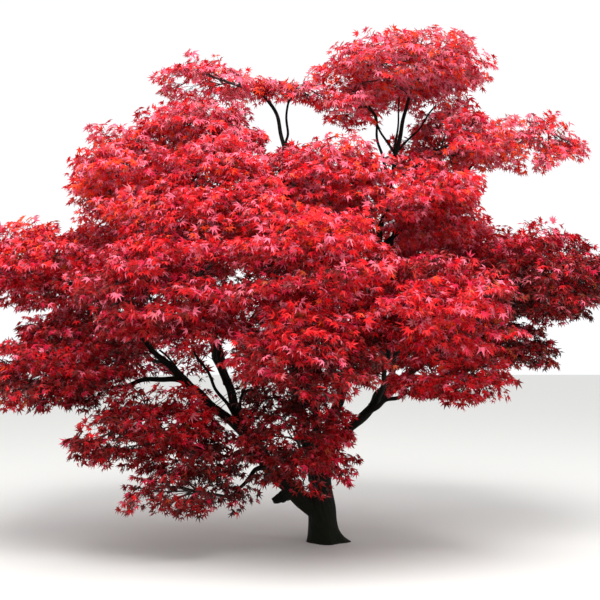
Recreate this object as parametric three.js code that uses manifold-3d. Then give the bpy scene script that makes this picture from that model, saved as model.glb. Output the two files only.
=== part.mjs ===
// A Japanese maple in autumn leaf, rooted in the ground: one short leaning trunk, long arching boughs
// and layered masses of foliage, each mass on the tip of its own bough.
// Millimetres, +Z up, with the origin at the middle of the flat cut under the trunk.
// Headings are degrees seen from above: 0 is +X (right in the front view) and 90 is +Y (the far side).
import * as THREE from "three";
import { mergeVertices } from "three/addons/utils/BufferGeometryUtils.js";
import Module from "manifold-3d";

const wasm = await Module();
wasm.setup();

const FACE_GAP = 0.3; // between a limb and what grows on from its end
const LIMB_GAP = 10; // least distance between limbs, and from a limb to a twig or leaf
const SPACE_GAP = 0.05; // share of its space that a mass keeps free towards the next one
const SAMPLE_STEP = 22; // spacing of the points that stand for a limb in the distance tests
const MERGE = 1e-3; // corners nearer than this are one corner
// Steps round the unit interval that never fall into a pattern: every seeded choice is one of them.
const SPREAD = { seed: 0.137, golden: 0.618, turn: 0.7549, height: 0.5698, mix: 7 };

// The trunk: narrow above the lowest stem, with a root flare that runs out furthest to the right.
const TRUNK = {
  height: 740,
  lean: -24, // of its top, towards +X
  bend: 1.5, // the lean grows with the height to this power
  lowRadius: 122,
  highRadius: 84,
  waist: [230, 500], // heights between which it narrows
  topRadius: 54,
  domeFrom: 0.9, // share of the height at which the top begins to round off
  flare: { reach: 62, rightward: 50, fade: 62, roots: 5, rootDepth: 0.22, turn: 1 },
  sides: 14,
  steps: 9,
  crowding: 1.4, // the rings stand closer together near the ground
};
// The broken stub on the underside of the left stem.
const STUB = { on: "left_stem", at: 0.3, heading: 183, elevation: -26, length: 190, radii: [50, 36] };

const BOUGH = {
  handles: [0.4, 0.18], // of its curve, at root and tip, as shares of the distance between them
  enter: [-0.5, 0, -0.4], // where it meets its mass, unless the mass says otherwise
  taper: 0.85,
  thick: 40, // root radius above which a limb has more sides
  sides: 8,
  thinSides: 5,
  stepLength: 320,
};
// A mass has one stem, shoots that leave the stem, and leaves on the shoots: one at the end and a pair.
const STEM = { sides: 4, heart: [0.15, 0, 0], leastRadius: 17, tipShare: 0.85 };
const SHOOT = {
  sides: 3,
  radii: [9, 8],
  nearest: 0.15, // share of the stem at which the last one leaves it
  end: 0.44, // of the way from the middle of the space to its edge
  lift: [-0.7, 0.7],
  // Targets on the unit ball: outwards, to both sides, up and down, before the spread ones.
  first: [
    [1, 0.2, 0.1],
    [0.1, 1, -0.2],
    [0.1, -1, -0.1],
    [0.35, 0.3, 0.9],
    [0.3, -0.4, -0.8],
  ],
};
const LEAF = {
  widest: 0.58, // along its length
  halfWidth: 0.5, // share of its length
  thickness: 0.04, // share of its length, at its middle
  longest: 620,
  reach: 0.985, // of its mass's space, at its tip
  sunk: 3, // its root lies this far behind the twig's middle line
  pairAt: 0.5, // along its shoot
  pairFan: 76, // degrees between a leaf of the pair and the end leaf
  pairLift: 0.4, // one leaf of a pair aims higher by this, the other lower
  roll: [36, 84], // degrees from lying level
  sizes: [1, 0.85, 0.7, 0.56], // the first of these that fits is kept
  crossing: 60, // cubic millimetres of a leaf that may lie in its twig
};

// A bough leaves its parent at a share of the parent's length, in a heading and an elevation, and has a
// radius at its root and at its tip. Its mass has a centre, given by heading, reach from the trunk's foot
// and height, half sizes outwards, across and upwards, a droop at its rim and a number of shoots. enter is
// where the bough meets the mass, in half sizes from its centre: outwards, across and upwards.
// The left stem carries boughs and no mass of its own: it has an end instead.
const BOUGHS = [
  { name: "left_stem", on: "trunk", at: 0.33, leaves: [183, 28], radii: [82, 50],
    end: { heading: 180, reach: 670, height: 950, elevation: 66 } },
  { name: "left_arm", on: "left_stem", at: 0.95, leaves: [186, 36], radii: [42, 14],
    mass: { heading: 185, reach: 2340, height: 2310, size: [640, 860, 440], droop: 80, shoots: 6 } },
  { name: "left_skirt", on: "left_arm", at: 0.36, leaves: [194, 20], radii: [26, 12],
    mass: { heading: 191, reach: 2200, height: 1500, size: [700, 760, 450], droop: 80, shoots: 5 } },
  { name: "low_left", on: "left_arm", at: 0.16, leaves: [218, 14], radii: [24, 11],
    mass: { heading: 209, reach: 1500, height: 1010, size: [760, 560, 400], droop: 130, shoots: 5 } },
  { name: "back_low_left", on: "left_arm", at: 0.26, leaves: [148, 34], radii: [28, 12],
    mass: { heading: 153, reach: 2340, height: 1820, size: [700, 860, 420], droop: 100, shoots: 5 } },
  { name: "bottom_left", on: "left_stem", at: 0.6, leaves: [228, 8], radii: [26, 10],
    mass: { heading: 214, reach: 1270, height: 545, size: [700, 500, 250], droop: 40, shoots: 6 } },
  { name: "shoulder_outer", on: "left_stem", at: 0.93, leaves: [172, 64], radii: [42, 13],
    mass: { heading: 183, reach: 1620, height: 3090, size: [580, 1050, 430], droop: 90, shoots: 6 } },
  { name: "left_front", on: "shoulder_outer", at: 0.22, leaves: [232, 46], radii: [28, 12],
    mass: { heading: 226, reach: 1690, height: 2070, size: [760, 800, 550], droop: 100, shoots: 6 } },
  { name: "back_left", on: "shoulder_outer", at: 0.3, leaves: [138, 48], radii: [30, 13],
    mass: { heading: 144, reach: 1980, height: 2600, size: [960, 1050, 560], droop: 120, shoots: 6 } },
  { name: "top_left", on: "trunk", at: 0.66, leaves: [170, 66], radii: [58, 12],
    mass: { heading: 163, reach: 980, height: 4040, size: [530, 800, 150], droop: 190, shoots: 6,
      enter: [-0.7, 0, -0.6] } },
  { name: "shoulder_inner", on: "top_left", at: 0.42, leaves: [232, 56], radii: [24, 11],
    mass: { heading: 208, reach: 1010, height: 2970, size: [620, 820, 450], droop: 70, shoots: 5 } },
  { name: "top_left_low", on: "top_left", at: 0.7, leaves: [196, 44], radii: [18, 10],
    mass: { heading: 174, reach: 1050, height: 3480, size: [650, 950, 250], droop: 70, shoots: 5 } },
  { name: "spray_middle", on: "top_left", at: 0.82, leaves: [50, 55], radii: [13, 9],
    mass: { heading: 180, reach: 100, height: 3830, size: [300, 340, 150], droop: 60, shoots: 4,
      enter: [0.55, 0, -0.4] } },
  { name: "centre_top", on: "top_left", at: 0.36, leaves: [10, 62], radii: [28, 12],
    mass: { heading: 110, reach: 160, height: 3050, size: [1060, 900, 410], droop: 60, shoots: 6,
      enter: [-0.2, 0, -0.75] } },
  { name: "centre_front", on: "top_left", at: 0.26, leaves: [268, 42], radii: [30, 12],
    mass: { heading: 266, reach: 1360, height: 2250, size: [780, 760, 460], droop: 100, shoots: 6 } },
  { name: "back_centre", on: "trunk", at: 0.93, leaves: [100, 58], radii: [44, 13],
    mass: { heading: 99, reach: 1660, height: 2820, size: [930, 1050, 560], droop: 120, shoots: 5 } },
  { name: "back_low_centre", on: "back_centre", at: 0.2, leaves: [98, 30], radii: [28, 12],
    mass: { heading: 98, reach: 1700, height: 1800, size: [740, 860, 420], droop: 100, shoots: 5 } },
  { name: "centre_low", on: "trunk", at: 0.84, leaves: [266, 40], radii: [30, 12],
    mass: { heading: 265, reach: 1540, height: 1590, size: [600, 640, 370], droop: 80, shoots: 5 } },
  { name: "trunk_front", on: "trunk", at: 0.6, leaves: [240, 12], radii: [22, 10],
    mass: { heading: 254, reach: 790, height: 970, size: [480, 600, 540], droop: 50, shoots: 5 } },
  { name: "right_outer", on: "trunk", at: 0.94, leaves: [356, 44], radii: [48, 14],
    mass: { heading: 4, reach: 1920, height: 2260, size: [720, 940, 490], droop: 150, shoots: 6 } },
  { name: "right_front", on: "right_outer", at: 0.3, leaves: [300, 44], radii: [30, 12],
    mass: { heading: 302, reach: 1400, height: 1950, size: [760, 820, 460], droop: 100, shoots: 6 } },
  { name: "right_front_low", on: "right_outer", at: 0.24, leaves: [318, 34], radii: [24, 10],
    mass: { heading: 314, reach: 1340, height: 1420, size: [500, 600, 260], droop: 70, shoots: 5 } },
  { name: "right_under", on: "right_outer", at: 0.55, leaves: [30, 16], radii: [22, 10],
    mass: { heading: 18, reach: 1740, height: 1670, size: [460, 760, 270], droop: 90, shoots: 5 } },
  { name: "back_low_right", on: "right_outer", at: 0.24, leaves: [62, 30], radii: [28, 12],
    mass: { heading: 55, reach: 1920, height: 1780, size: [740, 880, 420], droop: 100, shoots: 5 } },
  { name: "back_right", on: "right_outer", at: 0.38, leaves: [60, 56], radii: [30, 12],
    mass: { heading: 49, reach: 1840, height: 2500, size: [960, 1050, 560], droop: 140, shoots: 6 } },
  { name: "crown_top", on: "trunk", at: 0.95, leaves: [18, 68], radii: [50, 14],
    mass: { heading: 8, reach: 720, height: 4060, size: [800, 950, 350], droop: 100, shoots: 6,
      enter: [0.05, 0, -0.8] } },
  { name: "crown_left", on: "crown_top", at: 0.78, leaves: [178, 48], radii: [14, 9],
    mass: { heading: 0, reach: 240, height: 3740, size: [300, 460, 240], droop: 60, shoots: 5,
      enter: [0.6, 0, -0.3] } },
  { name: "crown_right", on: "crown_top", at: 0.76, leaves: [16, 38], radii: [18, 10],
    mass: { heading: 16, reach: 1150, height: 3440, size: [430, 1000, 430], droop: 60, shoots: 5 } },
  { name: "arm_right", on: "crown_top", at: 0.58, leaves: [12, 34], radii: [24, 11],
    mass: { heading: 8, reach: 1840, height: 3560, size: [650, 460, 210], droop: 500, shoots: 6 } },
  { name: "right_upper", on: "crown_top", at: 0.4, leaves: [350, 34], radii: [24, 11],
    mass: { heading: 4, reach: 920, height: 2880, size: [490, 1100, 430], droop: 80, shoots: 7 } },
];

const BARK = { color: 0x2b211d, roughness: 0.9, metalness: 0 };
const LEAF_LOOK = { roughness: 0.6, metalness: 0, flatShading: true };
const TINTS = [0xd3202b, 0xb81f35, 0xe0442a, 0xd04058, 0x7e1422]; // scarlet, crimson, orange, pink, maroon

const UP = new THREE.Vector3(0, 0, 1);
const { degToRad, lerp, smoothstep } = THREE.MathUtils;

function fraction(x) {
  return x - Math.floor(x);
}

function direction(heading, elevation) {
  return new THREE.Vector3(1, 0, 0)
    .applyAxisAngle(new THREE.Vector3(0, -1, 0), degToRad(elevation))
    .applyAxisAngle(UP, degToRad(heading));
}

// Solids

function solidOf(geometry) {
  const bare = new THREE.BufferGeometry().setAttribute("position", geometry.getAttribute("position"));
  const merged = mergeVertices(geometry.index ? bare.setIndex(geometry.index) : bare, MERGE);
  return new wasm.Manifold(
    new wasm.Mesh({
      numProp: 3,
      vertProperties: merged.getAttribute("position").array,
      triVerts: new Uint32Array(merged.index.array),
    }),
  );
}

function geometryOf(solid) {
  const mesh = solid.getMesh();
  const geometry = new THREE.BufferGeometry();
  geometry.setAttribute("position", new THREE.BufferAttribute(mesh.vertProperties, 3));
  geometry.setIndex(new THREE.BufferAttribute(mesh.triVerts, 1));
  geometry.computeVertexNormals();
  return geometry;
}

function joined(solids) {
  return solids.reduce((whole, next) => whole.add(next));
}

// A tapering limb: a closed cylinder whose rings are carried along a curve from one share of it to another.
function limbSolid(curve, from, to, radiusAt, sides, steps) {
  const geometry = new THREE.CylinderGeometry(1, 1, 1, sides, steps);
  const places = geometry.getAttribute("position");
  const across = curve.getPointAt(1).sub(curve.getPointAt(0)).cross(UP).normalize();
  const ring = new THREE.Vector3();
  for (let i = 0; i < places.count; i++) {
    ring.fromBufferAttribute(places, i);
    const share = from + (to - from) * (ring.y + 0.5);
    const along = curve.getTangentAt(share);
    const side = across.clone().addScaledVector(along, -across.dot(along)).normalize();
    const over = along.clone().cross(side);
    const place = curve
      .getPointAt(share)
      .addScaledVector(side, -ring.x * radiusAt(share))
      .addScaledVector(over, ring.z * radiusAt(share));
    places.setXYZ(i, place.x, place.y, place.z);
  }
  return solidOf(geometry);
}

// Trunk

function trunkAxis(share) {
  return new THREE.Vector3(TRUNK.lean * share ** TRUNK.bend, 0, TRUNK.height * share);
}

function trunkRadius(share, angle) {
  const height = TRUNK.height * share;
  const { reach, rightward, fade, roots, rootDepth, turn } = TRUNK.flare;
  const waist = smoothstep(height, ...TRUNK.waist);
  const dome = smoothstep(share, TRUNK.domeFrom, 1);
  const plain = lerp(TRUNK.lowRadius, TRUNK.highRadius, waist);
  const lobed = 1 + rootDepth * Math.cos(roots * angle + turn);
  const flare = (reach + rightward * Math.cos(angle)) * lobed * Math.exp(-height / fade);
  return lerp(plain, TRUNK.topRadius, dome) + flare;
}

function trunkSolid() {
  const geometry = new THREE.CylinderGeometry(1, 1, 1, TRUNK.sides, TRUNK.steps);
  const places = geometry.getAttribute("position");
  for (let i = 0; i < places.count; i++) {
    const share = (places.getY(i) + 0.5) ** TRUNK.crowding;
    const width = Math.hypot(places.getX(i), places.getZ(i));
    const angle = Math.atan2(-places.getZ(i), places.getX(i));
    const radius = width * trunkRadius(share, angle);
    const axis = trunkAxis(share);
    places.setXYZ(i, axis.x + radius * Math.cos(angle), axis.y + radius * Math.sin(angle), axis.z);
  }
  return solidOf(geometry);
}

// Spaces: each mass keeps to a ball that is stretched to its half sizes and bent down towards its rim.

function spaceOf({ heading, reach, height, size, droop }) {
  const out = direction(heading, 0);
  const side = UP.clone().cross(out);
  const centre = out.clone().multiplyScalar(reach).setZ(height);
  const [length, width, rise] = size;
  return {
    // From a point of the unit ball to its place in the tree.
    place({ x, y, z }) {
      return centre
        .clone()
        .addScaledVector(out, length * x)
        .addScaledVector(side, width * y)
        .addScaledVector(UP, rise * z - droop * (x * x + y * y));
    },
    // From a place in the tree to its point of the ball.
    within(place) {
      const offset = place.clone().sub(centre);
      const x = offset.dot(out) / length;
      const y = offset.dot(side) / width;
      return new THREE.Vector3(x, y, (offset.z + droop * (x * x + y * y)) / rise);
    },
  };
}

// Boughs

const boughNamed = new Map(BOUGHS.map((bough) => [bough.name, bough]));

function pointOn(name, share) {
  return name === "trunk" ? trunkAxis(share) : boughNamed.get(name).curve.getPointAt(share);
}

// A bough runs from its parent's axis to its end, or to where it enters its mass, aimed at the mass's heart.
function boughCurve({ on, at, leaves, end, mass, space }) {
  const root = pointOn(on, at);
  let tip;
  let arriving;
  if (mass) {
    tip = space.place(new THREE.Vector3(...(mass.enter ?? BOUGH.enter)));
    arriving = space.place(new THREE.Vector3(...STEM.heart)).sub(tip).normalize();
  } else {
    tip = direction(end.heading, 0).multiplyScalar(end.reach).setZ(end.height);
    arriving = direction(end.heading, end.elevation);
  }
  const [first, last] = BOUGH.handles.map((handle) => handle * root.distanceTo(tip));
  const leaving = root.clone().addScaledVector(direction(...leaves), first);
  return new THREE.CubicBezierCurve3(root, leaving, tip.clone().addScaledVector(arriving, -last), tip);
}

function boughRadius({ radii }, share) {
  return lerp(radii[0], radii[1], share ** BOUGH.taper);
}

function samplesOf(length, placeAt, radiusAt) {
  const count = Math.ceil(length / SAMPLE_STEP);
  return Array.from({ length: count + 1 }, (_, i) => ({
    place: placeAt(i / count),
    radius: radiusAt(i / count),
    share: i / count,
  }));
}

function setCurve(bough) {
  if (bough.mass) bough.space = spaceOf(bough.mass);
  bough.curve = boughCurve(bough);
  bough.samples = samplesOf(
    bough.curve.getLength(),
    (share) => bough.curve.getPointAt(share),
    (share) => boughRadius(bough, share),
  );
}

// The share of a bough at which it stands clear of its parent and of the limbs that leave beside it.
// The stretch before that is a collar, fused to the parent, and the bough's own solid starts after it.
function setCollar(bough) {
  const parent = bough.on === "trunk" ? trunkSamples : boughNamed.get(bough.on).samples;
  const beside = BOUGHS.filter((other) => other !== bough && other.on === bough.on);
  const near = [...parent, ...beside.flatMap((other) => other.samples)];
  bough.collar = bough.samples.find(({ place, radius }) =>
    near.every((limb) => place.distanceTo(limb.place) > radius + limb.radius + LIMB_GAP),
  ).share;
}

function boughSides({ radii }) {
  return radii[0] > BOUGH.thick ? BOUGH.sides : BOUGH.thinSides;
}

function collarSolid(bough) {
  const end = bough.collar - FACE_GAP / bough.curve.getLength();
  return limbSolid(bough.curve, 0, end, (share) => boughRadius(bough, share), boughSides(bough), 1);
}

function stubSolid() {
  const { on, at, heading, elevation, length, radii } = STUB;
  const root = pointOn(on, at);
  const line = new THREE.LineCurve3(root, root.clone().addScaledVector(direction(heading, elevation), length));
  return limbSolid(line, 0, 1, (share) => lerp(...radii, share), BOUGH.thinSides, 1);
}

// A limb with the stub and the collars that grow from it.
function withCollars(name, solid) {
  const collars = BOUGHS.filter((bough) => bough.on === name).map(collarSolid);
  return joined(name === STUB.on ? [solid, stubSolid(), ...collars] : [solid, ...collars]);
}

function boughSolid(bough) {
  const steps = Math.ceil((bough.curve.getLength() * (1 - bough.collar)) / BOUGH.stepLength);
  const radiusAt = (share) => boughRadius(bough, share);
  return withCollars(bough.name, limbSolid(bough.curve, bough.collar, 1, radiusAt, boughSides(bough), steps));
}

const trunkSamples = samplesOf(TRUNK.height, trunkAxis, (share) => trunkRadius(share, 0));
BOUGHS.forEach(setCurve);
BOUGHS.forEach(setCollar);
const limbSamples = [...trunkSamples, ...BOUGHS.flatMap((bough) => bough.samples)];
const spaces = BOUGHS.filter((bough) => bough.mass).map((bough) => bough.space);

// Foliage

function keepsTo(space, places) {
  return places.every((place) => {
    const depth = space.within(place).length();
    const others = spaces.filter((other) => other !== space);
    return depth < 1 && others.every((other) => other.within(place).length() > depth + SPACE_GAP);
  });
}

// A leaf is a pointed blade from its root to its tip, turned by roll about that line from lying level,
// and thickened to a low peak above and below its middle.
function leafShape(root, tip, roll) {
  const length = root.distanceTo(tip);
  const along = tip.clone().sub(root).normalize();
  const side = along.clone().cross(UP).normalize().applyAxisAngle(along, roll);
  const up = side.clone().cross(along);
  const frame = new THREE.Matrix4().makeBasis(along, side, up).scale(new THREE.Vector3(length, length, length));
  const at = (x, y, z) => new THREE.Vector3(x, y, z).applyMatrix4(frame).add(root);
  const { widest, halfWidth, thickness } = LEAF;
  return {
    rim: [at(0, 0, 0), at(widest, halfWidth, 0), at(1, 0, 0), at(widest, -halfWidth, 0)],
    peaks: [at(widest, 0, thickness / 2), at(widest, 0, -thickness / 2)],
  };
}

function rimEdges(rim) {
  return rim.map((corner, i) => [corner, rim[(i + 1) % rim.length]]);
}

function leafSolid({ rim, peaks }) {
  const above = rimEdges(rim).flatMap(([a, b]) => [a, b, peaks[0]]);
  const below = rimEdges(rim).flatMap(([a, b]) => [b, a, peaks[1]]);
  return solidOf(new THREE.BufferGeometry().setFromPoints([...above, ...below]));
}

function leafClearsLimbs({ rim, peaks }) {
  const blades = rimEdges(rim).map(([a, b]) => new THREE.Triangle(a, b, peaks[0]));
  const nearest = new THREE.Vector3();
  const half = rim[0].distanceTo(rim[2]);
  return limbSamples.every(({ place, radius }) => {
    const least = radius + 2 * LIMB_GAP;
    if (place.distanceTo(peaks[0]) > half + least) return true;
    return blades.every((blade) => blade.closestPointToPoint(place, nearest).distanceTo(place) > least);
  });
}

function leafKeepsTo(space, { rim, peaks }) {
  const edges = rimEdges(rim).map(([a, b]) => a.clone().lerp(b, 0.5));
  const inner = rim.map((corner) => corner.clone().lerp(peaks[0], 0.5));
  return keepsTo(space, [...rim.slice(1), ...edges, ...inner, peaks[0]]);
}

// The point of the ball that a shoot grows towards.
function shootTarget(seed, k) {
  if (k < SHOOT.first.length) return new THREE.Vector3(...SHOOT.first[k]).normalize();
  const turn = 2 * Math.PI * fraction(seed + SPREAD.turn * k);
  const z = lerp(...SHOOT.lift, fraction(SPREAD.mix * seed + SPREAD.height * k));
  return new THREE.Vector3(Math.cos(turn), Math.sin(turn), 0).multiplyScalar(Math.sqrt(1 - z * z)).setZ(z);
}

// A shoot runs from the stem towards its target, and stops where its end leaf begins.
function shootOf(space, stem, seed, k, count) {
  const target = shootTarget(seed, k);
  const root = stem.getPoint(lerp(1, SHOOT.nearest, k / count));
  const line = new THREE.LineCurve3(root, space.place(target.clone().multiplyScalar(SHOOT.end)));
  const radiusAt = (share) => lerp(...SHOOT.radii, share);
  const path = samplesOf(line.getLength(), (share) => line.getPoint(share), radiusAt);
  const clear = path.every(({ place, radius }) =>
    limbSamples.every((limb) => limb.place.distanceTo(place) > limb.radius + radius + LIMB_GAP),
  );
  const fits = clear && keepsTo(space, path.map(({ place }) => place));
  return { target, line, fits, solid: limbSolid(line, 0, 1, radiusAt, SHOOT.sides, 1) };
}

// Where the leaves of a shoot start and the points of the ball that they aim at: one at its end, then a pair.
function leafAims({ target, line }) {
  const joint = line.getPoint(LEAF.pairAt);
  const pair = [1, -1].map((way) => {
    const aim = target.clone().applyAxisAngle(UP, degToRad(way * LEAF.pairFan));
    return { joint, aim: aim.setZ(aim.z + way * LEAF.pairLift).normalize() };
  });
  return [{ joint: line.getPoint(1), aim: target }, ...pair];
}

// The largest leaf from a joint towards its aim that fits, or none.
function fittingLeaf(space, { joint, aim }, roll, soFar) {
  const reach = space.place(aim.clone().multiplyScalar(LEAF.reach)).sub(joint);
  const length = Math.min(reach.length(), LEAF.longest);
  const along = reach.normalize();
  for (const size of LEAF.sizes) {
    const root = joint.clone().addScaledVector(along, -LEAF.sunk);
    const leaf = leafShape(root, joint.clone().addScaledVector(along, size * length), roll);
    if (!leafKeepsTo(space, leaf) || !leafClearsLimbs(leaf)) continue;
    const solid = leafSolid(leaf);
    if (solid.intersect(soFar).volume() < LEAF.crossing) return solid;
  }
  return null;
}

function massSolid({ curve, radii, space, mass }, seed) {
  const tip = curve.getPointAt(1).addScaledVector(curve.getTangentAt(1), FACE_GAP);
  const stem = new THREE.LineCurve3(tip, space.place(new THREE.Vector3(...STEM.heart)));
  const radius = Math.max(radii[1], STEM.leastRadius);
  const radiusAt = (share) => radius * lerp(1, STEM.tipShare, share);
  const shoots = Array.from({ length: mass.shoots }, (_, k) => shootOf(space, stem, seed, k, mass.shoots));
  const fitting = shoots.filter((shoot) => shoot.fits);
  const wood = [limbSolid(stem, 0, 1, radiusAt, STEM.sides, 1), ...fitting.map((shoot) => shoot.solid)];
  const aims = fitting.map(leafAims);
  const endLeavesFirst = [0, 1, 2].flatMap((i) => aims.map((shootAims) => shootAims[i]));
  return endLeavesFirst.reduce((soFar, leafAim, i) => {
    const tilt = lerp(...LEAF.roll, fraction(seed + SPREAD.golden * i));
    const leaf = fittingLeaf(space, leafAim, degToRad(i % 2 ? tilt : -tilt), soFar);
    return leaf ? soFar.add(leaf) : soFar;
  }, joined(wood));
}

function mesh(name, solid, look) {
  const made = new THREE.Mesh(geometryOf(solid), new THREE.MeshStandardMaterial(look));
  made.name = name;
  return made;
}

const tree = new THREE.Group();
tree.name = "japanese_maple";
tree.add(mesh("trunk", withCollars("trunk", trunkSolid()), BARK));
BOUGHS.forEach((bough, i) => {
  tree.add(mesh(`bough_${bough.name}`, boughSolid(bough), BARK));
  if (!bough.mass) return;
  const look = { ...LEAF_LOOK, color: TINTS[i % TINTS.length] };
  tree.add(mesh(`foliage_${bough.name}`, massSolid(bough, fraction(SPREAD.seed + SPREAD.golden * i)), look));
});

export default tree;
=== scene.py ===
import bpy
import numpy as np
from mathutils import Matrix, Vector


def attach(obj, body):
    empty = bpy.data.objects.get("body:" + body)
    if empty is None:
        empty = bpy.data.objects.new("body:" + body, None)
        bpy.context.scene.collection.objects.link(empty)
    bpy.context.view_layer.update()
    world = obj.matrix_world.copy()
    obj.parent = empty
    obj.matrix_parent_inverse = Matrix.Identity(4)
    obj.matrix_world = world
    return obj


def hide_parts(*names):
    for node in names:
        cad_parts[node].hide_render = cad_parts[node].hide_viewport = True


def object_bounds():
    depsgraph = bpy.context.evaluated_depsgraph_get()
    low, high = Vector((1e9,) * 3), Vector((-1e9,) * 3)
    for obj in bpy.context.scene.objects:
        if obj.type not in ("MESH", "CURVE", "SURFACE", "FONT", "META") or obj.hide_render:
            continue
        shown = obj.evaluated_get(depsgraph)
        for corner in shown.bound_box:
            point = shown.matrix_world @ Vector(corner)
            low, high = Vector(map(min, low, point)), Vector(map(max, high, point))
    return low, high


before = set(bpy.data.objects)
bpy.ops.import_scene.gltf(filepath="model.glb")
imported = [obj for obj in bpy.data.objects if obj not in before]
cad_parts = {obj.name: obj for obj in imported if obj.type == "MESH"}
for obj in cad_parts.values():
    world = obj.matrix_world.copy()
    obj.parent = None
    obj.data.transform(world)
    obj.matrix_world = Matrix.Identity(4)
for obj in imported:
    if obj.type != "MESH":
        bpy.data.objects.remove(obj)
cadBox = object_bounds()

up = np.array([0.0, 0.0, 1.0])
golden = 0.618  # steps of this share round a circle never fall into a pattern
tiny = 1e-9  # metres, the least length that is divided by
nudge = np.array([1e-6, 0, 0])  # gives a path that runs straight up a side of its own
flatten = np.array([1, 1, 0.001])  # takes nearly all the rise out of a direction


# Sums that every piece uses

def unit(vectors):
    # each vector divided by its own length
    return vectors / np.maximum(np.linalg.norm(vectors, axis=-1, keepdims=True), tiny)


def towards(heading, elevation=0.0):
    # (cos lift cos turn, cos lift sin turn, sin lift)
    turn, lift = np.broadcast_arrays(np.radians(heading), np.radians(elevation))
    return np.stack([np.cos(lift) * np.cos(turn), np.cos(lift) * np.sin(turn), np.sin(lift)], axis=-1)


def blendOf(low, high, share):
    # low + (high - low) share
    return low + (high - low) * share


def smoothStep(low, high, value):
    # 0 below low, 1 above high, 3t^2 - 2t^3 between
    t = np.clip((value - low) / (high - low), 0, 1)
    return t * t * (3 - 2 * t)


def cubicCurve(a, b, c, d, t):
    # (1-t)^3 a + 3(1-t)^2 t b + 3(1-t) t^2 c + t^3 d
    return (1 - t) ** 3 * a + 3 * (1 - t) ** 2 * t * b + 3 * (1 - t) * t * t * c + t**3 * d


def lengthsAlong(path):
    # metres along the path to each of its places
    return np.concatenate([[0], np.cumsum(np.linalg.norm(np.diff(path, axis=0), axis=1))])


def linearColour(hexText):
    # sRGB to linear: c / 12.92 for a dark channel, else ((c + 0.055) / 1.055) ^ 2.4
    channels = np.array([int(hexText[i : i + 2], 16) for i in (1, 3, 5)]) / 255
    linear = np.where(channels <= 0.04045, channels / 12.92, ((channels + 0.055) / 1.055) ** 2.4)
    return (*linear.tolist(), 1.0)


def setSockets(node, values):
    # a value for each of the named sockets
    for name, value in values.items():
        node.inputs[name].default_value = value


def newMaterial(name, values):
    # a material whose shader has the given values in its sockets
    material = bpy.data.materials.new(name)
    material.use_nodes = True
    setSockets(material.node_tree.nodes["Principled BSDF"], values)
    return material


def addMesh(name, corners, faces, material, smooth=True):
    # corners (n, 3) and triangles (m, 3) go into the mesh as whole arrays
    mesh = bpy.data.meshes.new(name)
    mesh.vertices.add(len(corners))
    mesh.vertices.foreach_set("co", corners.astype(np.float32).ravel())
    mesh.loops.add(faces.size)
    mesh.loops.foreach_set("vertex_index", faces.astype(np.int32).ravel())
    mesh.polygons.add(len(faces))
    mesh.polygons.foreach_set("loop_start", np.arange(0, faces.size, 3, dtype=np.int32))
    mesh.polygons.foreach_set("loop_total", np.full(len(faces), 3, dtype=np.int32))
    mesh.polygons.foreach_set("use_smooth", np.full(len(faces), smooth))
    mesh.update(calc_edges=True)
    mesh.materials.append(material)
    piece = bpy.data.objects.new(name, mesh)
    bpy.context.scene.collection.objects.link(piece)
    return piece


def repeatedFaces(faces, copies, corners):
    # the faces of one shape for each of its copies, moved on by the corners of the copies before it
    return (faces[None] + corners * np.arange(copies)[:, None, None]).reshape(-1, 3)


def gridFaces(tubes, rings, around):
    # triangles of many closed tubes whose corners run tube by tube, ring by ring, and then two poles a tube
    ring, side = np.meshgrid(np.arange(rings - 1), np.arange(around), indexing="ij")
    nextSide = (side + 1) % around
    a, b = ring * around + side, ring * around + nextSide
    c, d = a + around, b + around
    wall = np.stack([a, b, d, a, d, c], axis=-1).reshape(-1, 3)
    turn = np.arange(around)
    last = (rings - 1) * around
    foot, top = np.full(around, rings * around), np.full(around, rings * around + 1)
    ends = np.concatenate([
        np.stack([foot, (turn + 1) % around, turn], axis=-1),
        np.stack([top, last + turn, last + (turn + 1) % around], axis=-1),
    ])
    return repeatedFaces(np.concatenate([wall, ends]), tubes, rings * around + 2)


def ringOf(angle, side, over):
    # cos a side + sin a over, one row an angle
    return np.cos(angle)[:, None] * side[..., None, :] + np.sin(angle)[:, None] * over[..., None, :]


def sweptTubes(paths, radii, around):
    # place + radius (cos a side + sin a over), for paths (tubes, rings, 3) and radii (tubes, rings), or
    # radii (tubes, rings, around) where they differ round a ring
    along = unit(np.gradient(paths, axis=1))
    chord = paths[:, -1] - paths[:, 0]
    across = unit(np.cross(chord, up) + nudge)[:, None]
    side = unit(across - (across * along).sum(-1, keepdims=True) * along)
    over = np.cross(side, along)
    angle = np.arange(around) * 2 * np.pi / around
    radii = radii[..., None] if radii.ndim == 2 else radii
    walls = paths[:, :, None] + radii[..., None] * ringOf(angle, side, over)
    corners = np.concatenate([walls.reshape(len(paths), -1, 3), paths[:, [0, -1]]], axis=1)
    faces = gridFaces(len(paths), paths.shape[1], around)
    return corners.reshape(-1, 3), faces[:, ::-1]


def joinedMesh(parts):
    # corners one part after another, and each part's faces moved on by the corners before it
    corners = np.concatenate([part[0] for part in parts])
    starts = np.cumsum([0] + [len(part[0]) for part in parts[:-1]])
    faces = np.concatenate([part[1] + start for part, start in zip(parts, starts)])
    return corners, faces


# The tree's own plan: the same rows as the solids, in metres

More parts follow.
